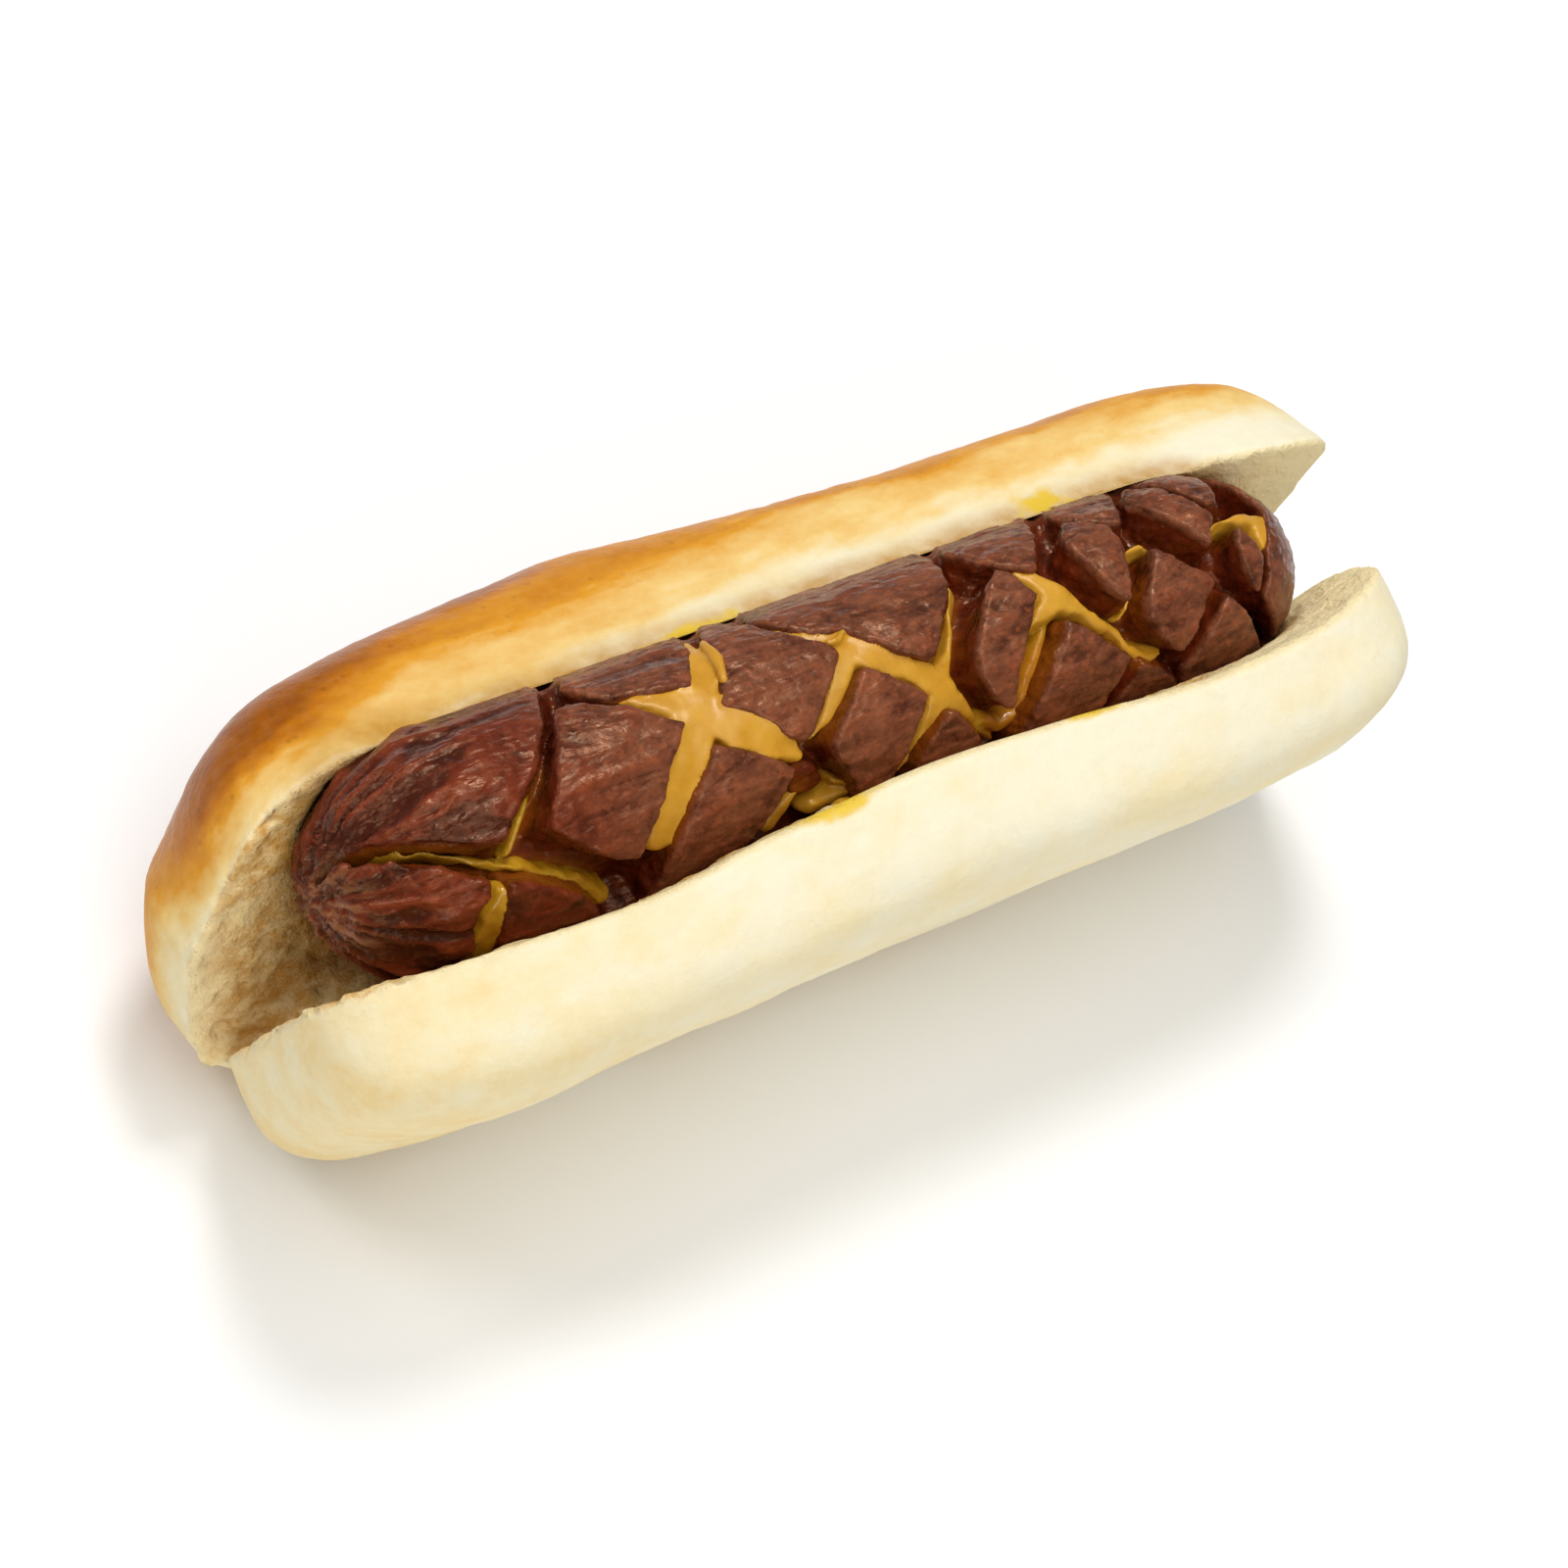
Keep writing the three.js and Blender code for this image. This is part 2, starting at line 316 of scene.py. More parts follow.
sausage = {
    "length": 141.4,
    "radius": 14.3,
    "tail": 20,             # how much of each end is rounded off
    "tailPower": 2.2,
    "step": 0.38,           # grid that the surface is taken from
    "triangles": 192000,
    "scoreDepth": 5.2,
    "shallower": (8, 15, 0.85),     # arcs towards the far lip, and the share of the depth lost there
    "draft": 0.20,          # how much the walls of a score lean, in mm for each mm of depth
    "edgeRound": 0.20,
    "floorRound": 1.6,
    "wobble": (0.22, 3.0),  # how far the cuts stray from their lines, and over what length
    "crown": (0.22, 2.2),   # how much a plate's middle stands over its edges, and how far in
    "sunk": 0.15,           # how far all plates lie below the even round form
    # Relief of the skin in mm, and of the cut meat.
    "wrinkle": 0.13,
    "crease": 0.20,
    "fold": (0.14, 0.75),   # along the middle, and added towards the ends
    "grain": 0.05,
    "cutGrain": 0.18,
    "curl": 0.12,           # the dried rim of a plate
    "pleat": 0.8,
    # The gathered knot of skin at each end, from the middle of the sausage, and how strong it is.
    "knots": ((-70.4, -3.4, 1.2, 1.0), (70.7, 0.5, 1.0, 0.2)),
    # Nothing is scored beyond these places along the sausage and these arcs.
    "scored": ((-70, 68), (-18, 25.5)),
    # The plates of skin between the scores: corners as distance along the sausage and arc from its
    # top line towards the near half, in mm.
    "plates": [
        [(-82, -33), (-41, -33), (-37, -21), (-37.5, -13), (-39.5, -9), (-41.5, -5.2), (-44, -1.8),
         (-46.8, 1.8), (-49.5, 4.2), (-52.8, 7.5), (-55.5, 6.9), (-60, 5), (-63.5, 2.6), (-65.8, 0.8),
         (-67.2, -1), (-69, -2.9), (-82, -2.9)],
        [(-82, -2.9), (-69.2, -1), (-67.2, 3.4), (-64, 5.6), (-61.2, 7.6), (-58.9, 9.6), (-55.5, 11.6),
         (-55.8, 12.8), (-57, 14.6), (-57.7, 17.1), (-58, 21), (-58.5, 29), (-82, 29)],
        [(-53.1, 12.5), (-50.5, 13.5), (-47, 15.6), (-44.2, 18), (-42, 21), (-39, 26.5), (-54.2, 29),
         (-54.4, 20), (-53.9, 16)],
        [(-37.5, -6.1), (-35.2, -4.8), (-33.2, -3.6), (-30.5, -1), (-26.4, 1.8), (-28.9, 4.1), (-31, 6.6),
         (-32.9, 9.5), (-34.9, 12.1), (-36.8, 14.9), (-40, 14.2), (-42.5, 12), (-45, 10), (-47.2, 7.7),
         (-45.5, 5), (-43.5, 1.5), (-41.4, -2.2), (-39.5, -5.4)],
        [(-36.2, -9.5), (-34.8, -11.5), (-32, -21), (-23, -26), (-16, -21), (-18.4, -11.5), (-19.8, -8),
         (-21.5, -5), (-23.2, -2.4), (-25.5, -3.1), (-29.5, -4.2), (-32.5, -4.7), (-34.5, -6.5)],
        [(-17, -9.5), (-14, -15), (-11.8, -14), (-10.8, -9.8), (-9.4, -6.5), (-7.4, -4), (-5.2, -2),
         (-4.1, -0.3), (-6.4, 2.5), (-9, 5.2), (-11.5, 7.6), (-13, 8.6), (-14.5, 7.5), (-16.6, 5),
         (-18.9, 2.6), (-21, 1.2), (-19.9, -1), (-18.1, -4), (-17, -6.5)],
        [(-24.1, 5.5), (-21, 7), (-18, 9.1), (-15, 11.5), (-17, 14.1), (-19.4, 16.6), (-22, 19), (-24, 23.5),
         (-35, 29), (-34, 22), (-32.5, 18), (-30.9, 14.2), (-28.9, 11.2), (-26.4, 8.5)],
        [(-9.8, -10.5), (-8.2, -15), (-5.5, -21), (2, -26), (6, -16), (3, -10.5), (1.2, -8.5), (-0.8, -6),
         (-2.2, -3.2), (-3.5, -3.2), (-6, -4.8), (-8.5, -7.5)],
        [(-14.5, 12.8), (-13.8, 12.1), (-12.2, 12.2), (-10.9, 14), (-10.6, 15.4), (-12.2, 16), (-14, 15.6)],
        [(-1.8, -2.9), (-0.9, -5.8), (0.5, -8), (2.5, -13), (5.5, -21), (14.5, -23.5), (19, -21),
         (17.2, -11.5), (16.1, -7), (14.8, -4.4), (12.4, -1.4), (10, 1.5), (7.6, 4.5), (6.2, 4.2),
         (3.2, 2.4), (1, 0.2)],
        [(-2, 2.7), (0, 4.4), (2.5, 6.5), (4.8, 8.6), (3, 11), (1, 13.6), (-1, 17), (-3, 22), (-5, 24),
         (-6.5, 19), (-6.8, 16), (-8.5, 12.8), (-9.4, 10.5), (-7.2, 8), (-5.1, 6), (-3.2, 3.8)],
        [(21.5, -3.8), (22.6, -2.6), (23.6, -0.4), (24.3, 1.5), (22.5, 4.1), (20.1, 6.5), (18.1, 9.1),
         (17.4, 11.5), (16.5, 14.1), (15.2, 13.5), (13.6, 11.2), (12.6, 8.5), (13, 6), (14.6, 3.5),
         (16.9, 1), (19, -1.5)],
        [(7.5, 11.8), (8.6, 12.3), (10.2, 14.2), (11.8, 16.8), (13.5, 21), (5.5, 24), (2, 21), (2.8, 17),
         (4.5, 14.5)],
        [(19.2, -10.5), (21.5, -17), (26, -23.5), (36, -23.5), (35, -16), (32.5, -11.5), (30, -6.5),
         (28, -4), (26.2, -1.6), (24.5, -2.9), (22.8, -4.2), (20.5, -6.5)],
        [(27, 5.9), (29, 7.6), (31.4, 10.1), (34.8, 13), (33, 15.5), (31, 18), (29, 22), (28, 26.5),
         (18, 26.5), (18.2, 20), (20, 16), (22.5, 12), (25, 8.8)],
        [(35.1, -7.8), (37.5, -6.2), (39.6, -3.9), (39.1, -0.4), (37.8, 3), (36.4, 6.4), (35.2, 5.2),
         (33.5, 1.6), (32.5, -1.9), (33, -5)],
        [(37.2, -8), (36, -10), (37.5, -15), (41, -22), (48.5, -22), (47.5, -15), (45.5, -10.5),
         (43.8, -7.5), (41.9, -4.4), (40, -5.2)],
        [(43, 1.1), (45.1, 3.1), (48, 6), (49.1, 7.6), (46.2, 11), (43, 15.1), (41.4, 14), (39.8, 11.8),
         (38.6, 9), (39.1, 6.4), (40.8, 3.9)],
        [(45.8, -9), (47.2, -10.1), (50, -9), (52, -4.8), (53.6, -0.5), (52.2, 1.2), (50.9, 3.1), (49, 0.2),
         (46.6, -4), (45.4, -6.8)],
        [(37.5, 15.2), (40, 16.8), (42.5, 19), (45, 24), (38, 26.5), (30.5, 26.5), (32, 22.5), (34, 19)],
        [(51.1, 10), (53, 12), (55, 15), (57, 19), (60, 26.5), (46, 26.5), (44.5, 22), (44, 18.5), (46, 16),
         (48.5, 12.8)],
        [(56.6, 2.2), (57.9, 4), (58.6, 6.5), (57.8, 9.2), (56.2, 11), (55.4, 9), (54.9, 6.5), (55.2, 4)],
        [(51, -12.5), (50, -16), (51, -22), (54, -26), (59.8, -23.5), (59.8, -16), (59.4, -10.5), (58, -5.8),
         (56.5, -2.5), (55, -2.8), (53, -7)],
        [(61.1, -36), (61.8, -21), (62.5, -13), (63.5, -6), (63.9, -1.5), (63, 1.5), (60, 6.5), (59.1, 10),
         (57.5, 12), (60, 18), (64, 29), (93, 29), (93, -36)],
    ],
    # How far each plate stands proud of the others.
    "rises": (0.0, 0.0, -0.2, 0.15, -0.1, 0.1, -0.15, 0.0, -2.2, 0.0, 0.0, 0.1,
              -0.5, -0.1, 0.0, 0.25, -0.2, 0.25, 0.25, -0.4, -0.1, 0.0, -0.2, -0.2),
}


def endShare(x):
    # 0 where an end starts to round off, 1 at its tip.
    return (np.abs(x) - (sausage["length"] / 2 - sausage["tail"])) / sausage["tail"]


def sausageRadius(x):
    v = np.clip(endShare(x), 0, 1)
    return sausage["radius"] * np.sqrt(np.clip(1 - v ** sausage["tailPower"], 0, 1))


def aroundSausage(points):
    # Distance along, arc from the top towards the near half, and distance outside the skin.
    q = points - np.array(sausageCentre)
    r = np.hypot(q[:, 1], q[:, 2])
    arc = np.arctan2(-q[:, 1], q[:, 2]) * sausage["radius"]
    v = np.clip(endShare(q[:, 0]), 0, None)
    skin = (np.sqrt(v ** sausage["tailPower"] + (r / sausage["radius"]) ** 2) - 1) * sausage["radius"]
    return q[:, 0], arc, skin


def polygonDistance(x, y, corners):
    # Distance outside a closed outline, negative inside.
    squared = np.full(x.shape, 1e9)
    inside = np.zeros(x.shape, bool)
    for (ax, ay), (bx, by) in zip(corners, corners[1:] + corners[:1]):
        ex, ey = bx - ax, by - ay
        wx, wy = x - ax, y - ay
        t = np.clip((wx * ex + wy * ey) / (ex * ex + ey * ey), 0, 1)
        squared = np.minimum(squared, (wx - t * ex) ** 2 + (wy - t * ey) ** 2)
        if ay != by:
            inside ^= ((ay <= y) != (by <= y)) & (x < ax + ex * (y - ay) / ey)
    return np.where(inside, -1, 1) * np.sqrt(squared)


def strokeDistance(x, y, stroke):
    # Distance outside a line of changing half width, and the line's depth there.
    best = np.full(x.shape, 1e9)
    depth = np.zeros(x.shape)
    for (ax, ay, aw, ad), (bx, by, bw, bd) in zip(stroke, stroke[1:]):
        ex, ey = bx - ax, by - ay
        t = np.clip(((x - ax) * ex + (y - ay) * ey) / (ex * ex + ey * ey), 0, 1)
        gap = np.hypot(x - ax - t * ex, y - ay - t * ey) - (aw + (bw - aw) * t)
        closer = gap < best
        best = np.where(closer, gap, best)
        depth = np.where(closer, ad + (bd - ad) * t, depth)
    return best, depth


class SkinMaps:
    # Flat maps of the sausage's skin over distance along it and arc around it, in mm.
    step = 0.25
    start = (-76.0, -45.0)
    shape = (609, 361)

    def __init__(self):
        along = self.start[0] + self.step * np.arange(self.shape[0])
        around = self.start[1] + self.step * np.arange(self.shape[1])
        x, arc = np.meshgrid(along, around, indexing="ij")
        gaps = np.stack([polygonDistance(x, arc, plate) for plate in sausage["plates"]])
        (left, right), (far, near) = sausage["scored"]
        unscored = np.minimum(np.minimum(arc - far, near - arc), np.minimum(x - left, right - x))
        self.edge = np.minimum(gaps.min(0), unscored)
        self.rise = np.where(unscored < gaps.min(0), 0, np.array(sausage["rises"])[gaps.argmin(0)])
        strokes = [strokeDistance(x, arc, line) for line in sauce["strokes"]]
        films = [strokeDistance(x, arc, line) for line in sauce["films"]]
        away = np.stack([line[0] for line in strokes + films])
        weight = np.exp(-np.clip(away + 1.0, 0, 12) / 0.5) + 1e-12
        self.depth = (weight * np.stack([line[1] for line in strokes + films])).sum(0) / weight.sum(0)
        self.sauce = away.min(0)
        self.film = np.stack([line[0] for line in films]).min(0)
        self.thin = 1 - ramp(self.film - np.stack([line[0] for line in strokes]).min(0), -1.0, 1.5)
        self.spill = np.stack([strokeDistance(x, arc, line)[0] for line in sauce["spills"]]).min(0)

    def read(self, grid, x, arc):
        i = np.clip((x - self.start[0]) / self.step, 0, self.shape[0] - 1.001)
        j = np.clip((arc - self.start[1]) / self.step, 0, self.shape[1] - 1.001)
        i0, j0 = i.astype(int), j.astype(int)
        fi, fj = i - i0, j - j0
        return ((grid[i0, j0] * (1 - fi) + grid[i0 + 1, j0] * fi) * (1 - fj)
                + (grid[i0, j0 + 1] * (1 - fi) + grid[i0 + 1, j0 + 1] * fi) * fj)


def strayed(points, x, arc):
    # Places on the skin, moved a little so that no cut runs dead straight.
    far, size = sausage["wobble"]
    return x + far * noise(points, size, 51, 2), arc + far * noise(points, size, 61, 2)


def sausageField(points):
    x, arc, skin = aroundSausage(points)
    field = np.maximum(skin, -1.0)
    band = np.nonzero((skin > -sausage["scoreDepth"] - 1.5) & (skin < 1.2))[0]
    skin = skin[band]
    x, arc = strayed(points[band], x[band], arc[band])
    edge = maps.read(maps.edge, x, arc)
    crown = sausage["crown"][0] * ramp(-edge, 0, sausage["crown"][1]) - sausage["sunk"]
    top = skin - maps.read(maps.rise, x, arc) - crown
    plate = softMax(top, edge - sausage["draft"] * np.maximum(-skin, 0), sausage["edgeRound"])
    start, end, lost = sausage["shallower"]
    core = skin + sausage["scoreDepth"] * (1 - lost * ramp(-arc, start, end))
    field[band] = softMin(plate, core, sausage["floorRound"])
    return field


def skinRelief(flat, points):
    # Wrinkles run along the sausage, and folds are deepest at its left end.
    x = flat[:, 0]
    flat[:, 1] = flat[:, 1] + 0.9 * noise(flat, (6.0, 4.0, 4.0), 69, 2)
    wrinkle = noise(flat, (4.5, 1.8, 3.0), 71)
    crease = np.abs(noise(flat, (3.8, 1.7, 2.0), 73, 2)) - 0.3
    fold = 0.3 - np.abs(noise(flat, (11.0, 3.2, 4.0), 76, 2))
    ends = ramp(-x, 40, 62) + 0.15 * ramp(x, 46, 64)
    relief = sausage["wrinkle"] * wrinkle + sausage["crease"] * crease
    relief = relief + (sausage["fold"][0] + sausage["fold"][1] * ends) * fold
    relief = relief + sausage["grain"] * noise(points, 0.9, 81, 2)
    return relief * (1 - 0.5 * ramp(x, 50, 66))


def tipRelief(flat, points, onSkin):
    # Pleats gathered into the knot at each tip, and how dry the skin is round it.
    move = np.zeros(len(points))
    dry = np.zeros(len(points))
    for *tip, strength in sausage["knots"]:
        away = points - np.array(sausageCentre) - np.array(tip)
        r = np.linalg.norm(away, axis=1)
        turn = np.arctan2(away[:, 1], away[:, 2])
        around = np.stack([np.cos(turn) * 3, np.sin(turn) * 3, r * 0.10], 1)
        pleat = 0.45 - np.abs(noise(around, 0.62, 91, 2))
        pull = sausage["pleat"] * pleat * ramp(r, 1.5, 5) * (1 - ramp(r, 9, 19))
        knot = (1 - ramp(r, 1.5, 4.5)) * (0.35 - 0.5 * noise(points, 0.9, 95, 2))
        move = move - strength * (onSkin * pull + knot)
        patchy = ramp(noise(flat, (3.0, 1.0, 2.0), 97), -0.2, 0.3)
        dry = np.maximum(dry, strength * (1 - ramp(r, 3, 9)) * patchy)
    return move, dry


def makeSausage():
    reach = np.array((sausage["length"] / 2 + 1.8, sausage["radius"] + 1.7, sausage["radius"] + 1.7))
    lowest = np.array(sausageCentre) - reach
    grid, shape = gridOver(lowest, np.array(sausageCentre) + reach, sausage["step"])
    points, faces = surfaceNet(sausageField(grid), shape, lowest, sausage["step"])
    piece = makeObject("sausageSkin", points, faces)
    soften(piece, 0.3, 1)
    thinOut(piece, sausage["triangles"])
    p = readPoints(piece)
    x, arc, skin = aroundSausage(p)
    edge = maps.read(maps.edge, x, arc)
    meat = ramp(-skin, 0.45, 1.3)
    onSkin = 1 - meat
    flat = np.stack([x, arc, skin], 1)
    leather = skinRelief(flat, p)
    move = onSkin * leather + meat * (sausage["cutGrain"] * noise(p, (2.6, 1.3, 1.3), 86))
    move = move + onSkin * sausage["curl"] * (1 - ramp(np.abs(edge + 0.35), 0.0, 0.5))
    atTips, dry = tipRelief(flat, p, onSkin)
    writePoints(piece, pushOut(piece, p, move + atTips))
    wet = 1 - ramp(maps.read(maps.film, x, arc), -0.3, 1.3)
    beside = 0.8 - 0.8 * ramp(maps.read(maps.sauce, x, arc), 0.0, 1.5)
    # crest is the height of the skin's relief; the material paints shade in its creases and a highlight on
    # its ridges from it.
    writeValues(piece, crest=np.clip(0.5 + 1.9 * leather, 0, 1), dry=dry, meat=meat,
                film=np.maximum(wet, beside) * meat, along=x)
    finishMesh(piece, grilledSkin())
    return piece


def grilledSkin():
    # Grilled sausage: smoked, slightly dried skin over fatty meat. The rendered fat on it gives
    # broken satin highlights, tinted by the brown under them. Cut meat is darker, redder and wetter.
    material, add = newMaterial("grilledSausageSkin")
    dry, meat, film = (add("Attribute", {"attribute_name": name}, "Fac") for name in ("dry", "meat", "film"))
    # Brown patches of 4 mm, redder and darker at the left end.
    patch = graded(add, pattern(add, 3.8462, 5, 0.7, 0.8), 0.32, 0.68)
    skin = tint(add, "#582C1D", "#834C32", patch)
    red = tint(add, "#480E02", "#701B03", patch)
    skin = tint(add, skin, red, graded(add, "along", -46, -34, 0.75, 0))
    # Painted shade darkens the bottoms of the wrinkles, and a painted highlight lightens their tops.
    skin = tint(add, skin, "#280A05", graded(add, "crest", 0.45, 0.1, 0, 0.7))
    skin = tint(add, skin, "#84391A", graded(add, "crest", 0.60, 1, 0, 0.40))
    # Flecks of fat 1 mm wide, fewer at the left end, then dark pits and the dry knots.
    fleck = graded(add, pattern(add, 1.0, 4, 0.7, 0.8), 0.50, 0.66)
    skin = tint(add, skin, "#9E5434", fleck, graded(add, "along", -46, -34, 0.22, 0.5))
    pit = graded(add, pattern(add, 1.25, 3, 0.65, 0.8), 0.46, 0.32)
    skin = tint(add, skin, "#3A1409", pit, 0.5)
    skin = tint(add, skin, "#A4704A", dry, 0.6)
    # Cut meat with fibres of 2 mm, and the sauce and fat that wet it.
    cut = tint(add, "#3A1006", "#6A260C", graded(add, pattern(add, 2.0, 4, 0.6), 0.3, 0.7))
    colour = tint(add, skin, cut, meat)
    colour = tint(add, colour, "#8E4C0E", film, 0.6)
    # Fine leather grain of 0.8 mm over soft creases of 2 mm.
    fine = add("Math", {"operation": "MULTIPLY", 0: pattern(add, 0.83333, 2, 0.5, 0.6), 1: 0.45})
    soft = add("Math", {"operation": "MULTIPLY", 0: pattern(add, 2.08333, 2, 0.5, 0.5), 1: 1.6})
    height = add("Math", {"operation": "ADD", 0: fine, 1: soft})
    bump = add("Bump", {"Height": height, "Strength": 0.55, "Distance": 0.0006})
    rough = graded(add, pattern(add, 1.42857, 4, 0.65), 0.3, 0.7, 0.18, 0.46)
    wet = add("Math", {"operation": "MAXIMUM", 0: meat, 1: film})
    wet = add("Math", {"operation": "MULTIPLY", 0: wet, 1: 0.08})
    rough = add("Math", {"operation": "SUBTRACT", 0: rough, 1: wet})
    shader = add("BsdfPrincipled", {"Base Color": colour, "Roughness": rough, "Normal": bump,
                                    "Specular IOR Level": 0.38, "Specular Tint": (1.0, 0.64, 0.40, 1.0)})
    add("OutputMaterial", {"Surface": shader})
    return material


sauce = {
    "step": 0.30,           # grid that the surface is taken from
    "embed": 0.35,          # how far it reaches into the walls of the scores
    "climb": 0.35,          # how far its top climbs at a wall
    "ripple": 0.12,         # unevenness of its top
    # Where the sauce lies in the scores: x, arc, half width, and depth of its top below the skin.
    "strokes": [
        [(-17.8, -11.8, 1, 0.7), (-19.1, -7, 2, 0.7), (-23.3, -0.9, 3.4, 0.7), (-26.4, 3.8, 3.3, 1.1),
         (-29.2, 8.2, 3.3, 1.5), (-31.3, 12, 3.1, 1.7), (-32.4, 14.6, 2.4, 1.8)],
        [(-32.2, -4.7, 0.4, 0.9), (-30.4, -3.6, 1.2, 0.8), (-28, -2.3, 2, 0.7), (-24.1, -0.1, 3.2, 0.7),
         (-20.2, 3.9, 3.2, 0.5), (-16.7, 7.3, 3, 0.5), (-14.1, 10.2, 1.3, 0.7)],
        [(-8.7, -12.7, 0.6, 1), (-7.9, -7, 1.4, 0.9), (-4.8, -3.7, 2, 0.9), (-1.4, -0.6, 2.6, 0.9),
         (1.7, 2.7, 2.4, 1.1), (4.8, 5.4, 2.4, 1.3), (7.9, 8.8, 2.6, 1.7), (11, 13.3, 1.4, 2.4),
         (13.6, 17.9, 1, 2.8), (15.5, 21, 1, 2.8)],
        [(-2.6, -0.5, 2.2, 0.9), (-4.8, 3, 1.8, 1.9), (-7.3, 6.5, 1.5, 2.6), (-10.3, 8.9, 0.8, 2.8)],
        [(8.2, 7.1, 2, 1.8), (11.3, 4, 0.95, 2.8), (13.4, -0.1, 0.8, 3.2), (15.3, -3.9, 0.8, 2.8),
         (16.9, -6.3, 0.7, 2.2), (17.2, -7.8, 0.3, 1.4)],
        [(6.7, 10.6, 2, 1.8), (4.7, 13.9, 1.2, 2.4), (2.9, 16.7, 1, 2.4), (0.8, 18.5, 1, 2)],
        [(24.1, -2.7, 0.8, 1), (26.1, -0.8, 1.7, 1), (27.8, 2.2, 2.4, 1.2), (31.2, 5.9, 1.3, 2.4),
         (34.1, 9.7, 1.1, 2.8), (36.5, 13.3, 1.2, 2.4), (38.9, 15.6, 1.3, 1.8), (40.8, 15.4, 0.6, 1.5)],
        [(27.4, 2.4, 2, 1.2), (25.1, 3.8, 1.8, 1.6), (23.3, 4.5, 0.8, 1.8)],
        [(36.2, 8.4, 0.6, 2.8), (37.8, 7, 0.7, 2.8), (39.3, 4.5, 0.4, 2.8)],
        [(41.5, -1.2, 0.8, 2.2), (43.3, -1.2, 0.9, 2.2), (44.5, -0.6, 0.5, 2.2)],
        [(45.9, 0.8, 0.35, 2), (48.7, 4.1, 0.4, 2)],
        [(49, 9.4, 0.4, 1.8), (50, 8.2, 0.5, 1.8)],
        [(54.5, -0.1, 0.6, 1.2), (57.4, 0.1, 1, 1.1), (60.4, 0.2, 1.7, 0.9), (62.4, 1.1, 1.9, 0.9),
         (61.1, 3.7, 1.6, 0.9), (60.2, 5.7, 0.8, 1)],
    ],
    # Thin, dark, wet sauce at the bottom of the scores.
    "films": [
        [(-67.6, -2.4, 0.7, 1.6), (-65.8, 0.7, 0.9, 1.9), (-62.7, 4.1, 0.9, 2.2), (-58.5, 7.1, 0.8, 2.5),
         (-54.2, 10, 0.8, 2.8), (-50.5, 12.4, 0.9, 3), (-46.8, 14.7, 1.1, 3), (-43.6, 17.9, 1.3, 2.9),
         (-41.1, 20.8, 1.4, 2.3), (-40.1, 21.9, 1.4, 1.7)],
        [(-51.4, 9.4, 0.9, 2.9), (-49, 5.9, 0.9, 3.1), (-46.8, 2.6, 0.8, 3.3), (-44.5, -0.5, 0.6, 3.4)],
        [(-53.8, 13.9, 1.4, 1.1), (-54.9, 16.9, 2, 1), (-55.7, 20.4, 2, 1), (-55.6, 25.1, 1.8, 1)],
        [(-13.5, 15, 0.7, 2.2), (-15.7, 17.6, 1.5, 2), (-18.1, 19.7, 1.6, 1.6)],
        [(-8.2, 16.6, 0.9, 2.4), (-5.7, 18.8, 1.2, 2), (-11.5, 19.6, 1.6, 1.6)],
        [(13.2, 16.1, 1, 2.6), (16.3, 18.7, 1.4, 2.4), (19.7, 17, 1.3, 2.8), (21.4, 11.7, 1.3, 3),
         (23.6, 7.8, 1.2, 3), (25.2, 5.4, 0.9, 2.8)],
    ],
    # Sauce spilt on the skin: x, arc, half width and height.
    "spills": [
        [(-14.6, 16.8, 0.7, 0.3), (-11.8, 18.6, 1.5, 0.5), (-8.2, 19.6, 1.6, 0.5), (-5.4, 20.6, 0.7, 0.3)],
        [(-17.4, -8.6, 0.5, 0.15), (-17.9, -5.0, 0.7, 0.2), (-19.2, -1.6, 0.5, 0.15)],
        [(-4.6, -1.6, 0.4, 0.2), (-2.9, -1.9, 0.5, 0.25), (-1.6, -2.6, 0.2, 0.1)],
    ],
}


def sauceField(points):
    x, arc, skin = aroundSausage(points)
    field = np.full(len(points), 1.0)
    band = np.nonzero((skin > -sausage["scoreDepth"] - 1.2) & (skin < 1.2))[0]
    p, x, arc, skin = points[band], x[band], arc[band], skin[band]
    cutX, cutArc = strayed(p, x, arc)
    edge = maps.read(maps.edge, cutX, cutArc)
    shift = 0.35 * noise(p, 2.2, 101, 2)
    away = maps.read(maps.sauce, x + shift, arc - shift)
    level = maps.read(maps.depth, x, arc) + sauce["ripple"] * noise(p, 2.4, 106, 2)
    level = level - sauce["climb"] * np.exp(-np.maximum(edge, 0) / 0.45)
    level = level + 1.6 * ramp(away, -1.1, 0.1) ** 2    # rounded over towards a free end
    wall = -(edge - sausage["draft"] * np.maximum(-skin, 0)) - sauce["embed"]
    base = -(skin + sausage["scoreDepth"] + 0.3)
    body = np.maximum(softMax(softMax(skin + level, away, 0.5), wall, 0.2), base)
    spread = maps.read(maps.spill, x + shift, arc - shift)
    top = skin - maps.read(maps.rise, cutX, cutArc)
    spill = np.maximum(top - 0.45 * ramp(-spread, -0.3, 1.2), -skin - 0.9)
    field[band] = softMin(body, softMax(spill, spread, 0.3), 0.5)
    return field


def makeSauce():
    lowest = np.array(sausageCentre) - (71, 15, 5)
    grid, shape = gridOver(lowest, np.array(sausageCentre) + (68, 13.5, 15), sauce["step"])
    points, faces = surfaceNet(sauceField(grid), shape, lowest, sauce["step"])
    piece = makeObject("mustardSauce", points, faces)
    soften(piece, 0.5, 2)
    x, arc, skin = aroundSausage(readPoints(piece))
    # The pool beside the near lip stays creamy, and the crossing at x = 20 is stained by the meat.
    creamy = ramp(arc, 12, 16) * (x > -30) * (x < 5)
    writeValues(piece, thin=maps.read(maps.thin, x, arc) * (1 - 0.7 * creamy),
                orange=ramp(x, 13, 15) * ramp(26 - x, 0, 2) * ramp(arc, 5, 9))
    finishMesh(piece, mustard())
    return piece


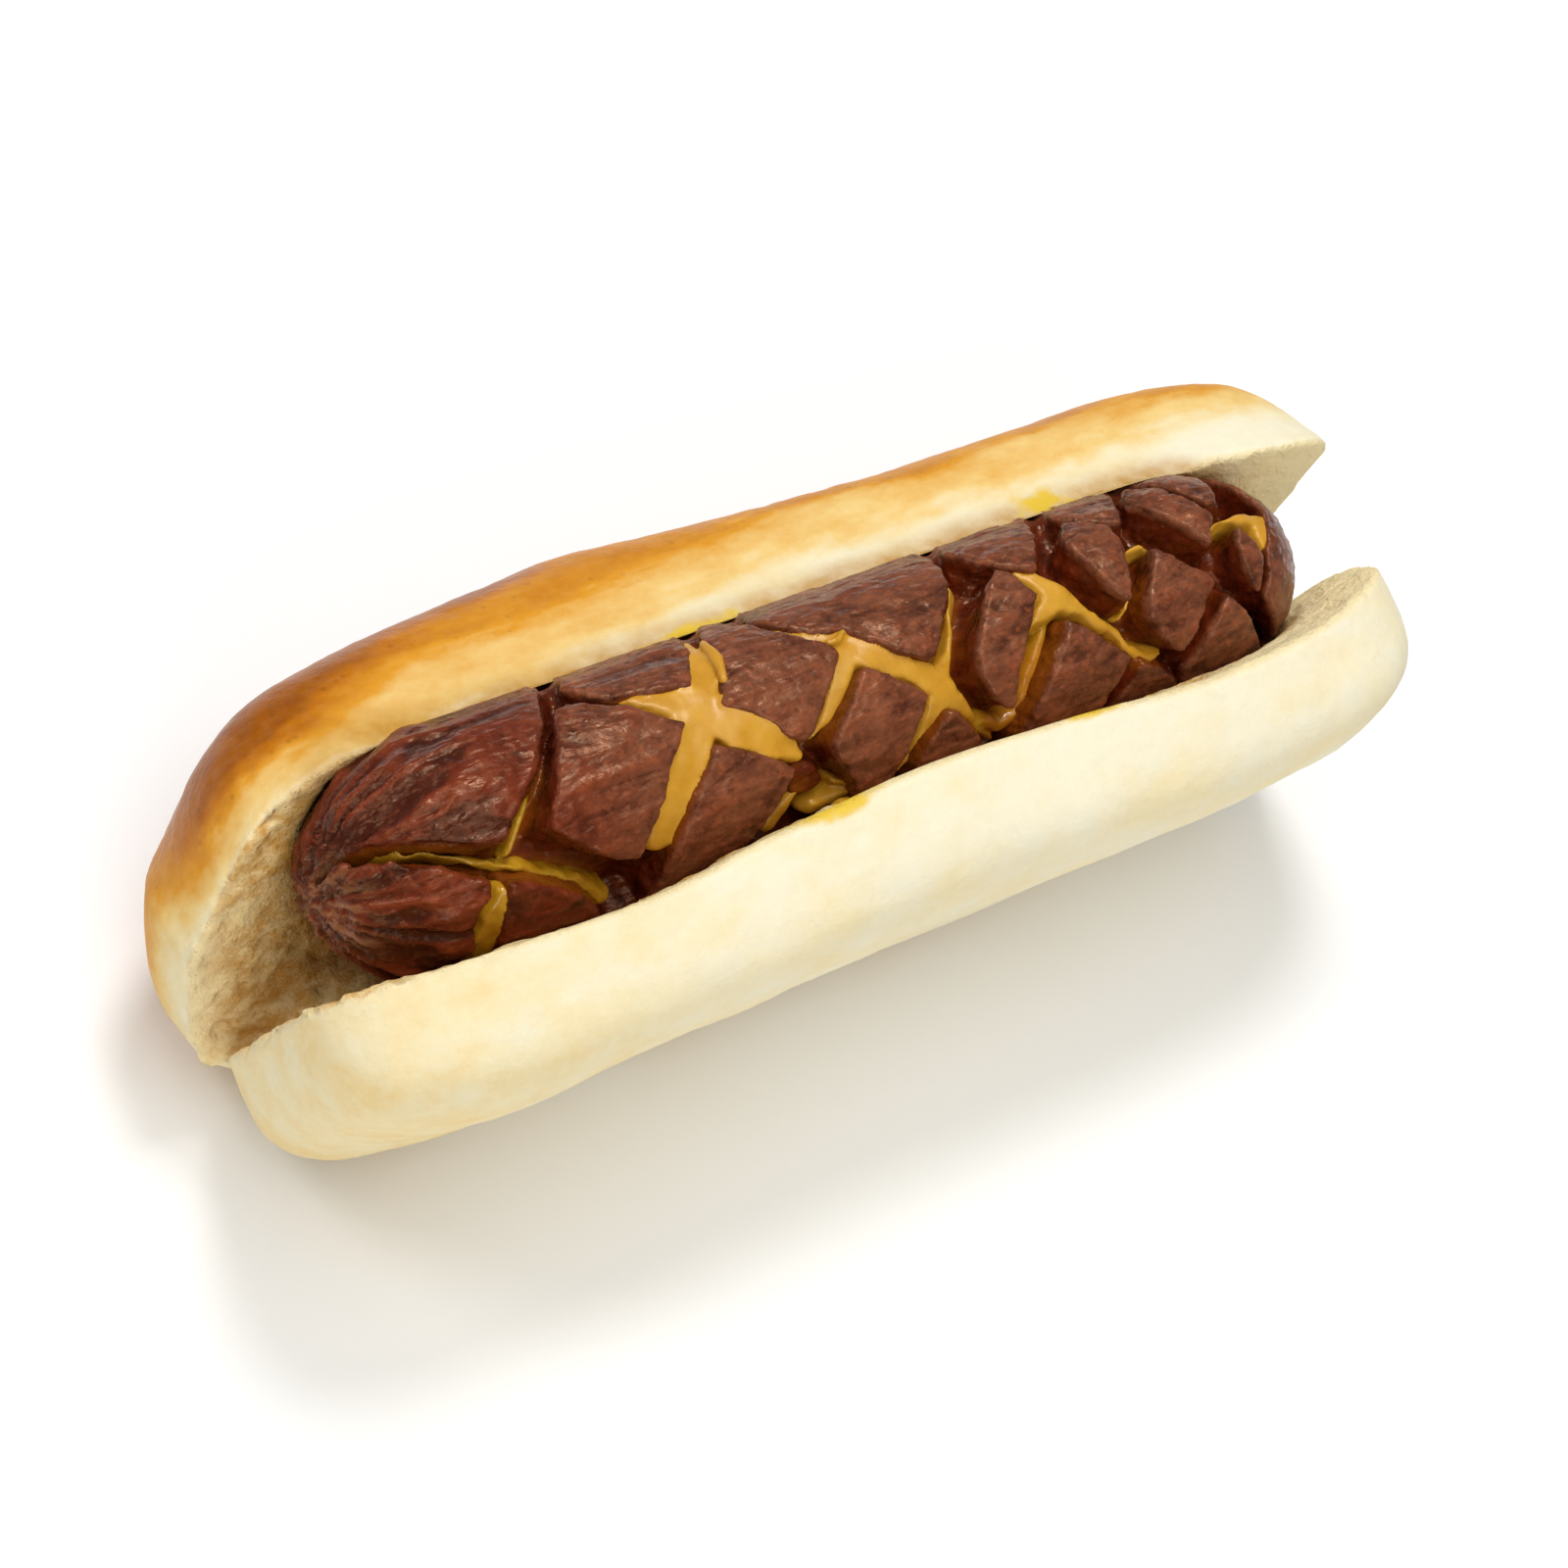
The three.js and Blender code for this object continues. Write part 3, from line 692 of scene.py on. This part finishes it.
def mustard():
    # Prepared mustard: ground seed in a smooth wet cream, glossy. Where it is thin it is a dark film
    # that takes the brown of the meat below.
    material, add = newMaterial("mustardSauceGloss")
    thin, orange = (add("Attribute", {"attribute_name": name}, "Fac") for name in ("thin", "orange"))
    # Streaks of 3 to 4 mm.
    cream = tint(add, "#C0861B", "#D09A2E", graded(add, pattern(add, 3.8462, 3, 0.6), 0.3, 0.7))
    dark = tint(add, "#A06C0C", "#C99A26", graded(add, pattern(add, 3.33333, 3, 0.6), 0.3, 0.7))
    colour = tint(add, cream, dark, thin)
    colour = tint(add, colour, "#B9701A", orange, 0.7)
    bump = add("Bump", {"Height": pattern(add, 1.42857, 3, 0.5), "Strength": 0.12, "Distance": 0.0004})
    rough = graded(add, "thin", 0, 1, 0.34, 0.14)
    shader = add("BsdfPrincipled", {"Base Color": colour, "Roughness": rough, "Normal": bump,
                                    "Subsurface Weight": 0.10, "Subsurface Scale": 0.001,
                                    "Subsurface Radius": (0.8, 0.6, 0.25),
                                    "Specular Tint": (1.0, 0.92, 0.78, 1.0)})
    add("OutputMaterial", {"Surface": shader})
    return material


roll = {
    "length": 160,
    # Lean from the vertical and added thickness at these stations along the roll.
    "stations": (-80, -60, -40, -20, 0, 20, 40, 60, 80),
    "blend": 14,            # how gently one station goes over to the next
    "near": {"side": -1, "width": 44.1, "hinge": 7.6, "thickness": 17,
             "lean": (20.1, 23.1, 24.4, 21.7, 20.2, 21.3, 24.0, 23.1, 17.4),
             "swell": (2.7, 1.5, -0.9, 0.3, 0.3, 0.1, -1.1, -0.7, 1.8), "swellByHeight": 0,
             "endPower": 5.6, "lipPower": 5.2, "wall": 0, "crustPower": 4.5,
             "endShift": (2.1, 0.9), "endHollow": (0.2, -4.2), "lipTrim": 0, "lipReach": 0},
    "far": {"side": 1, "width": 39.2, "hinge": 6, "thickness": 26.8,
            "lean": (17.6, 19.8, 21.0, 21.6, 21.6, 21.0, 19.6, 17.8, 14.8),
            "swell": (1.6, -1.3, 1.2, 3.6, 1.3, -1.0, -1.7, 0.5, 2.1), "swellByHeight": 1,
            "endPower": 7.3, "lipPower": 5.9, "wall": 13.2, "crustPower": 3.5,
            "endShift": (-0.4, -1.1), "endHollow": (0, 3.4), "lipTrim": 0.26, "lipReach": 0.36},
    "web": {"reach": (-71, 67), "halfWidth": 13, "under": 8.9, "over": 10.5},
    "voxel": 0.66,
    "press": 0.12,          # how closely the crumb lies against the sausage
    "lipPress": 0.40,       # how much closer it lies at the lips
    "laid": (2.2, 1.2),     # how far the far lip is laid over the sausage, in and down
    "swell": 0.40,          # slow unevenness of the crust
    "dimple": 0.07,         # fine unevenness of the crust
    "crumbRelief": 0.42,
    "crumbPits": 0.75,
    # Mustard stains beside the sausage: side, x and half length, depth and half width.
    "stains": ((1, -14.0, 7.0, 1.5, 1.9), (1, 39.5, 5.0, 3.4, 2.6),
               (-1, -14.5, 6.5, 0.2, 1.3), (-1, 23.5, 4.0, 0, 0.8)),
    # Where the bake turns gold, amber and brown on the domed half: x, then depth behind the cut face.
    "bakeStations": ((-80, -60, -45, -30, -15, 0, 30, 60, 80),
                     (-1.0, 0.0, 2.0, 4.5, 6.5, 7.8, 8.6, 9.6, 9.5),
                     (2.0, 6.0, 9.5, 11.0, 12.0, 13.0, 14.5, 15.5, 15.0),
                     (5.0, 9.5, 14.0, 17.5, 20.0, 21.0, 22.0, 22.0, 21.0)),
    # How far each of those turns reaches, before and after its line.
    "bakeSpread": ((3.5, 3.5), (2.2, 2.6), (2.2, 3.0)),
}


def alongRoll(table, x):
    x = np.asarray(x, float)
    weight = np.exp(-((x[..., None] - np.array(roll["stations"])) / roll["blend"]) ** 2)
    return (weight * np.array(table)).sum(-1) / weight.sum(-1)


def placed(half, x, s, n):
    # The point at height s from the hinge along a half's cut face, and depth n behind the face.
    a = np.radians(alongRoll(half["lean"], x))
    return np.stack([x, half["side"] * (np.sin(a) * s + np.cos(a) * n), np.cos(a) * s - np.sin(a) * n], -1)


def halfPlace(half, points):
    # The reverse of placed.
    a = np.radians(alongRoll(half["lean"], points[:, 0]))
    y = half["side"] * points[:, 1]
    return y * np.sin(a) + points[:, 2] * np.cos(a), y * np.cos(a) - points[:, 2] * np.sin(a)


def faceHollow(half, x, s):
    # How far the ends of a cut face are scooped out, or puffed up where negative.
    w = np.clip(s / half["width"], 0, 1)
    left, right = half["endHollow"]
    return np.where(x > 0, right, left) * np.abs(x / (roll["length"] / 2)) ** 3 * 4 * w * (1 - w)


def halfOutline(half, around):
    # The rim of a half's cut face, its points evenly spaced.
    t = np.linspace(0, 2 * math.pi, 6001)[:-1]
    end = roll["length"] / 2
    x = end * power(np.cos(t), 2 / half["endPower"])
    s = (half["width"] + half["hinge"]) / 2 * power(np.sin(t), 2 / half["lipPower"])
    left, right = half["endShift"]
    x = x + np.where(x > 0, right, left) * (x / end) ** 2
    run = np.concatenate([[0], np.cumsum(np.hypot(np.diff(x), np.diff(s)))])
    pick = np.searchsorted(run, np.arange(around) / around * run[-1])
    return x[pick], s[pick]


def halfSkin(half, around=260, faceRings=16, crustRings=32):
    middle = (half["width"] - half["hinge"]) / 2
    x, s = halfOutline(half, around)

    def ring(alongX, acrossS, b):
        # The rim drawn in to these shares, a share b of the thickness behind the face.
        rx = x * alongX
        rs = middle + s * acrossS
        share = (rs + half["hinge"]) / (half["width"] + half["hinge"])
        rx = np.where(rx > 0, rx * (1 + half["lipReach"] * (share - 0.5)),
                      rx * (1 - half["lipTrim"] * np.maximum(0, share - 0.5)))
        swell = alongRoll(half["swell"], rx) * (1 - half["swellByHeight"] * (1 - share))
        return placed(half, rx, rs, b * (half["thickness"] + swell) + faceHollow(half, rx, rs) * (1 - b))

    rings = [ring(k, k, 0) for k in np.linspace(0, 1, faceRings + 1)[1:]]
    for k in np.linspace(0, 1, crustRings + 2)[1:-1]:
        b = math.sin(k * math.pi / 2) ** 0.8
        close = (1 - b ** half["crustPower"]) ** (1 / half["crustPower"])
        across = close
        if half["wall"] > 0:
            past = max(0, (b * half["thickness"] - half["wall"]) / (half["thickness"] - half["wall"]))
            across = math.sqrt(max(0, 1 - past ** 2))
        rings.append(ring(close, across, b))
    one = np.array([0.0])
    thickness = half["thickness"] + alongRoll(half["swell"], one) * (1 - half["swellByHeight"] / 2)
    points, faces = ringSkin(rings, placed(half, one, one + middle, one)[0],
                             placed(half, one, one + middle, thickness)[0])
    if half["side"] < 0:
        faces = [tuple(reversed(f)) for f in faces]
    return points, faces


def webSkin(around=60, along=39):
    # The uncut bread along the hinge, flat underneath.
    web = roll["web"]
    start, finish = web["reach"]
    a = np.linspace(0, 2 * math.pi, around + 1)[:-1]
    up = np.where(np.cos(a) < 0, power(np.cos(a), 0.6), np.cos(a))
    out = np.where(up < 0, power(np.sin(a), 0.8), np.sin(a))
    rings = []
    for f in np.sin(np.linspace(-1, 1, along + 2)[1:-1] * math.pi / 2):
        swell = max(0, 1 - abs(f) ** 6) ** 0.4
        x = np.full(around, (start + finish) / 2 + (finish - start) / 2 * f)
        rings.append(np.stack([x, -web["halfWidth"] * swell * out,
                               up * swell * np.where(up > 0, web["over"], web["under"])], -1))
    return ringSkin(rings, (start, 0, 0), (finish, 0, 0))


def joinRoll():
    points, faces = [], []
    for skin in (halfSkin(roll["near"]), halfSkin(roll["far"]), webSkin()):
        base = sum(len(p) for p in points)
        points.append(skin[0])
        faces += [tuple(base + i for i in f) for f in skin[1]]
    piece = makeObject("rollBread", np.vstack(points), faces)
    remesh = piece.modifiers.new("union", "REMESH")
    remesh.mode = "VOXEL"
    remesh.voxel_size = roll["voxel"] / 1000
    settle(piece)
    soften(piece, 0.5, 4)
    return piece


def breadRelief(p, crumb, lip, tear):
    # Crust: slow swells and fine dimples. Crumb: torn ridges and pits.
    slow = softNoise(p, 21.0, 3) + 0.5 * softNoise(p, 9.0, 4)
    crust = roll["swell"] * slow * (1 - 0.6 * crumb) + roll["dimple"] * noise(p, 2.6, 5) * (1 - crumb)
    torn = roll["crumbRelief"] * noise(p, (4.2, 2.6, 2.6), 11)
    pits = roll["crumbPits"] * (1 - ramp(pitNoise(p, 3.4, 21), 0.15, 0.5))
    return crust + crumb * (torn - pits) * ramp(lip, 1.0, 6.0) * tear


def layFarLip(p, isFar, s, n):
    laid = isFar * ramp(s, 27, 37) * (1 - ramp(np.abs(p[:, 0] - 2), 50, 64)) * (1 - ramp(n, 2, 12))
    laid = laid * (1 + 0.35 * noise(p, 8.0, 49, 2))
    p[:, 1] -= roll["laid"][0] * laid
    p[:, 2] -= roll["laid"][1] * laid


def pressOnSausage(p, lip):
    # Moves bread out of the sausage. Gives how far it then is from it, where it meets it, and where
    # it was pressed.
    cx, cy, cz = sausageCentre
    away = p[:, 1:] - np.array((cy, cz))
    distance = np.hypot(away[:, 0], away[:, 1])
    press = roll["press"] - roll["lipPress"] * ramp(8 - lip, 0, 5)
    beside = np.abs(p[:, 0] - cx) < sausage["length"] / 2
    wanted = np.where(beside, sausageRadius(p[:, 0] - cx) + press, 0)
    gap = distance - wanted
    eased = 0.5 * (gap + np.sqrt(gap * gap + 0.8))
    pushed = np.where(wanted > 2, wanted + np.where(gap > 4, gap, eased), distance)
    p[:, 1:] = np.array((cy, cz)) + away * (pushed / np.maximum(distance, 1e-6))[:, None]
    p[:, 2] = np.maximum(p[:, 2], -toFrame[2])
    return pushed - wanted, wanted > 2, ramp(pushed - distance, 0.2, 1.0)


def bakeOf(p, isFar, s, sNear, nNear, nFar):
    # Bake: 0 pale side, 1 gold, 2 amber, 3 brown.
    x = p[:, 0]
    stations, *turns = roll["bakeStations"]
    depth = nFar + 1.6 * noise(p, (14, 7, 7), 31) + 0.9 * noise(p, (9, 1.6, 1.6), 36)
    far = 0.20 * (1 - ramp(x, 52, 68))
    for turn, (before, after) in zip(turns, roll["bakeSpread"]):
        line = np.interp(x, stations, turn)
        far = far + ramp(depth, line - before, line + after)
    palerEnd = ramp(-x, 62, 79) * ramp(33 - s, 0, 20) * (1 - 0.5 * ramp(nFar, 4, 14))
    far = far * (1 - 0.8 * palerEnd)
    foot = ramp(8 - p[:, 2], 0, 14)
    far = np.where(foot > 0, far * (1 - 0.45 * foot) + 0.5 * foot, far)
    under = nNear + 0.8 * noise(p, 12, 41)
    low = ramp(2 - sNear, 0, 9)
    near = 0.14 * ramp(under, 7, 15) + 1.1 * low * ramp(under, 11, 16) + 0.40 * ramp(-x, 10, 85)
    near = 0.05 + near + 0.12 * noise(p, 9, 45)
    return np.where(isFar, far, near)


def stainsOf(p, isFar, n, lip):
    stain = np.zeros(len(p))
    for side, x, reach, depth, spread in roll["stains"]:
        gap = ((p[:, 0] - x) / reach) ** 2 + ((n - depth) / spread) ** 2
        gap = gap + 0.7 * noise(p, 2.2, 47, 2)
        stain = np.maximum(stain, (isFar == (side > 0)) * ramp(lip, 4, 2) * (1 - ramp(gap, 0.2, 1.3)))
    return stain


def makeRoll():
    piece = joinRoll()
    p = readPoints(piece)
    near, far = roll["near"], roll["far"]
    sNear, nNear = halfPlace(near, p)
    sFar, nFar = halfPlace(far, p)
    isFar = nFar > nNear
    s = np.where(isFar, sFar, sNear)
    n = np.where(isFar, nFar, nNear)
    hollow = np.where(isFar, faceHollow(far, p[:, 0], s), faceHollow(near, p[:, 0], s))
    crumb = 1 - ramp(n - hollow, 0.35, 1.0)
    lip = np.where(isFar, far["width"], near["width"]) - s
    tear = 1 - 0.8 * ramp(p[:, 0], 40, 58)      # the right end is cut clean
    p = pushOut(piece, p, breadRelief(p, crumb, lip, tear))
    layFarLip(p, isFar, s, n)
    gap, beside, inTrough = pressOnSausage(p, lip)
    writePoints(piece, p)
    rim = np.minimum(lip, roll["length"] / 2 - np.abs(p[:, 0]))
    # How far from the sausage the crumb darkens: soaked fat, and painted shade, reaching further at the far
    # lip and at the left end.
    soakAndShadeReach = 2.4 + 1.6 * isFar + 5.0 * ramp(-p[:, 0], 48, 60)
    writeValues(piece, bake=bakeOf(p, isFar, s, sNear, nNear, nFar) * (1 - crumb),
                crumb=np.maximum(crumb, inTrough), lip=1 - ramp(rim, 0.4, 7.0), tear=tear,
                soaked=(1 - ramp(gap, 0.3, soakAndShadeReach)) * beside, stain=stainsOf(p, isFar, n, lip))
    finishMesh(piece, bakedWheat())
    return piece


def bakedWheat():
    # Baked soft wheat bread: a thin dry crust, matt where pale and with a slight sheen where brown,
    # and on the cut faces open, torn, matt crumb that light enters a little.
    material, add = newMaterial("bakedSoftWheatRoll")
    bake, crumb, lip, tear, soaked, stain = (add("Attribute", {"attribute_name": name}, "Fac") for name
                                             in ("bake", "crumb", "lip", "tear", "soaked", "stain"))
    # Uneven bake: blotches of 6 mm, and on the baked side mottles of 2 mm.
    blotch = graded(add, pattern(add, 6.25, 4, 0.6, 0.6), 0.3, 0.7, -0.20, 0.22)
    mottle = graded(add, pattern(add, 1.92308, 4, 0.65, 0.7), 0.3, 0.7, -0.14, 0.14)
    mottle = add("Math", {"operation": "MULTIPLY", 0: mottle, 1: graded(add, "bake", 0.1, 0.6)})
    uneven = add("Math", {"operation": "ADD", 0: blotch, 1: mottle})
    level = add("Math", {"operation": "ADD", 0: bake, 1: uneven})
    level = add("Math", {"operation": "DIVIDE", "use_clamp": True, 0: level, 1: 3.4})
    crust = add("ValToRGB", {0: level})
    stops = crust.node.color_ramp.elements
    for k, (place, code) in enumerate(((0.0, "#ECE4C8"), (0.10, "#ECDDB2"), (0.28, "#E9C67C"),
                                       (0.52, "#DA9626"), (0.76, "#BA6E0C"), (1.0, "#8C4806"))):
        stop = stops[k] if k < 2 else stops.new(place)
        stop.position = place
        stop.color = srgb(code)
    # Dark pinholes 2.4 mm apart where it is brown, and a fine floury speckle where it is pale.
    place = add("TexCoord", {}, "Object")
    pinhole = add("TexVoronoi", {"Vector": place, "Scale": 1000 / 2.38095}, "Distance")
    pinhole = graded(add, pinhole, 0.10, 0.20, 1, 0)
    crust = tint(add, crust, "#6E3A10", pinhole, graded(add, "bake", 1.2, 2.4, 0, 0.3))
    speckle = graded(add, pattern(add, 1.42857, 3, 0.6), 0.35, 0.65)
    crust = tint(add, crust, "#FFF3D6", speckle, graded(add, "bake", 0.3, 1.2, 0.14, 0.02))
    # Crumb with pores of 2.4 mm, smoother at the right end and along the lips.
    inside = tint(add, "#CFA058", "#EFD59C", graded(add, pattern(add, 2.38095, 4, 0.7, 0.7), 0.40, 0.60))
    inside = tint(add, "#F9E6B6", inside, tear)
    inside = tint(add, inside, "#EEDDAE", lip, 0.8)
    colour = tint(add, crust, inside, crumb)
    # Fat soaked in beside the sausage, partly painted shade where the bread meets it and deep in the trough
    # at the left end, and mustard.
    patchy = graded(add, pattern(add, 3.33333, 3, 0.55), 0.3, 0.7, 0.4, 0.9)
    colour = tint(add, colour, "#B88228", soaked, patchy)
    colour = tint(add, colour, "#E2BC2A", stain, 0.9)
    # Fine skin of 0.7 mm over dimples of 2.6 mm on the crust, deep pores in the crumb.
    dimple = add("Math", {"operation": "MULTIPLY", 0: pattern(add, 2.63158, 3, 0.6), 1: 1.6})
    grain = add("Math", {"operation": "ADD", 0: pattern(add, 0.66667, 3, 0.6), 1: dimple})
    crustBump = add("Bump", {"Height": grain, "Strength": 0.22, "Distance": 0.0005})
    crumbBump = add("Bump", {"Height": pattern(add, 2.38095, 4, 0.65), "Normal": crustBump,
                             "Strength": 0.9, "Distance": 0.0014})
    normal = tint(add, crustBump, crumbBump, crumb)
    dull = add("Math", {"operation": "MULTIPLY", 0: crumb, 1: 0.3})
    rough = graded(add, "bake", 0.8, 2.6, 0.70, 0.30)
    rough = add("Math", {"operation": "ADD", "use_clamp": True, 0: rough, 1: dull})
    shader = add("BsdfPrincipled", {"Base Color": colour, "Roughness": rough, "Normal": normal,
                                    "Subsurface Weight": 0.10, "Subsurface Scale": 0.002,
                                    "Subsurface Radius": (1.0, 0.8, 0.5), "Specular IOR Level": 0.14,
                                    "Specular Tint": (1.0, 0.80, 0.48, 1.0)})
    add("OutputMaterial", {"Surface": shader})
    return material


maps = SkinMaps()
print("skin maps made")

bread = makeRoll()
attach(bread, "root")
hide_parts("bun")

frank = makeSausage()
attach(frank, "root")
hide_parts("sausage")

dressing = makeSauce()
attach(dressing, "root")
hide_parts("sauce")

# A lens of about 80 mm at arm's length, tilted as the photo is. Angles in degrees, places in
# millimetres about the hinge line.
camera = {
    "azimuth": -54.427,
    "elevation": 51.953,
    "roll": 27.148,
    "distance": 422.91,
    "lens": 80.56125,       # for a 36 mm sensor
    "target": (0, 0, 20),
    "aside": (-1.45, -3.89),
}


def placeCamera():
    a, e, r = (math.radians(camera[k]) for k in ("azimuth", "elevation", "roll"))
    back = Vector((math.sin(a) * math.cos(e), -math.cos(a) * math.cos(e), math.sin(e)))
    right = Vector((0, 0, 1)).cross(back).normalized()
    up = back.cross(right)
    target = right * camera["aside"][0] + up * camera["aside"][1] + Vector(camera["target"])
    data = bpy.data.cameras.new("camera")
    data.sensor_width = 36
    data.lens = camera["lens"]
    data.clip_start = 0.01
    piece = addObject("camera", data)
    tilted = (right * math.cos(r) + up * math.sin(r), up * math.cos(r) - right * math.sin(r), back)
    piece.matrix_world = Matrix(tilted).transposed().to_4x4()
    piece.location = (target + back * camera["distance"] + Vector(toFrame)) / 1000
    bpy.context.scene.camera = piece


# Four round softboxes, in metres and watts: name, place, width across and power.
studio = {
    "lamps": (("softboxKey", (0.20, 0.36, 0.98), 0.34, 5.2), ("softboxBack", (-0.60, 0.45, 0.85), 0.40, 2.2),
              ("softboxFront", (-0.45, -1.0, 0.60), 0.8, 4.8), ("softboxOver", (0.0, -0.25, 1.5), 1.2, 8.0)),
    "aim": (0, 0, 0.03),
    "ambient": 0.22,
    "floorReach": 3,
}


def makeFloor():
    reach = studio["floorReach"]
    mesh = bpy.data.meshes.new("floor")
    mesh.from_pydata([(-reach, -reach, 0), (reach, -reach, 0), (reach, reach, 0), (-reach, reach, 0)],
                     [], [(0, 1, 2, 3)])
    piece = addObject("floor", mesh)
    # Plain white laminate, matt enough to show only a soft shadow.
    material, add = newMaterial("paleTable")
    add("OutputMaterial", {"Surface": add("BsdfPrincipled", {"Base Color": "#F8F8F7", "Roughness": 0.8})})
    mesh.materials.append(material)


def lightStudio():
    for name, place, size, watts in studio["lamps"]:
        data = bpy.data.lights.new(name, "AREA")
        data.shape = "DISK"
        data.size = size
        data.energy = watts
        piece = addObject(name, data)
        piece.location = place
        aim = Vector(studio["aim"]) - Vector(place)
        piece.rotation_euler = aim.to_track_quat("-Z", "Y").to_euler()
    world = bpy.data.worlds.new("studio")
    world.use_nodes = True
    world.node_tree.nodes["Background"].inputs["Color"].default_value = (1, 1, 1, 1)
    world.node_tree.nodes["Background"].inputs["Strength"].default_value = studio["ambient"]
    bpy.context.scene.world = world


placeCamera()
makeFloor()
lightStudio()
bpy.context.scene.view_settings.view_transform = "Standard"
print("camera, floor and lamps placed")
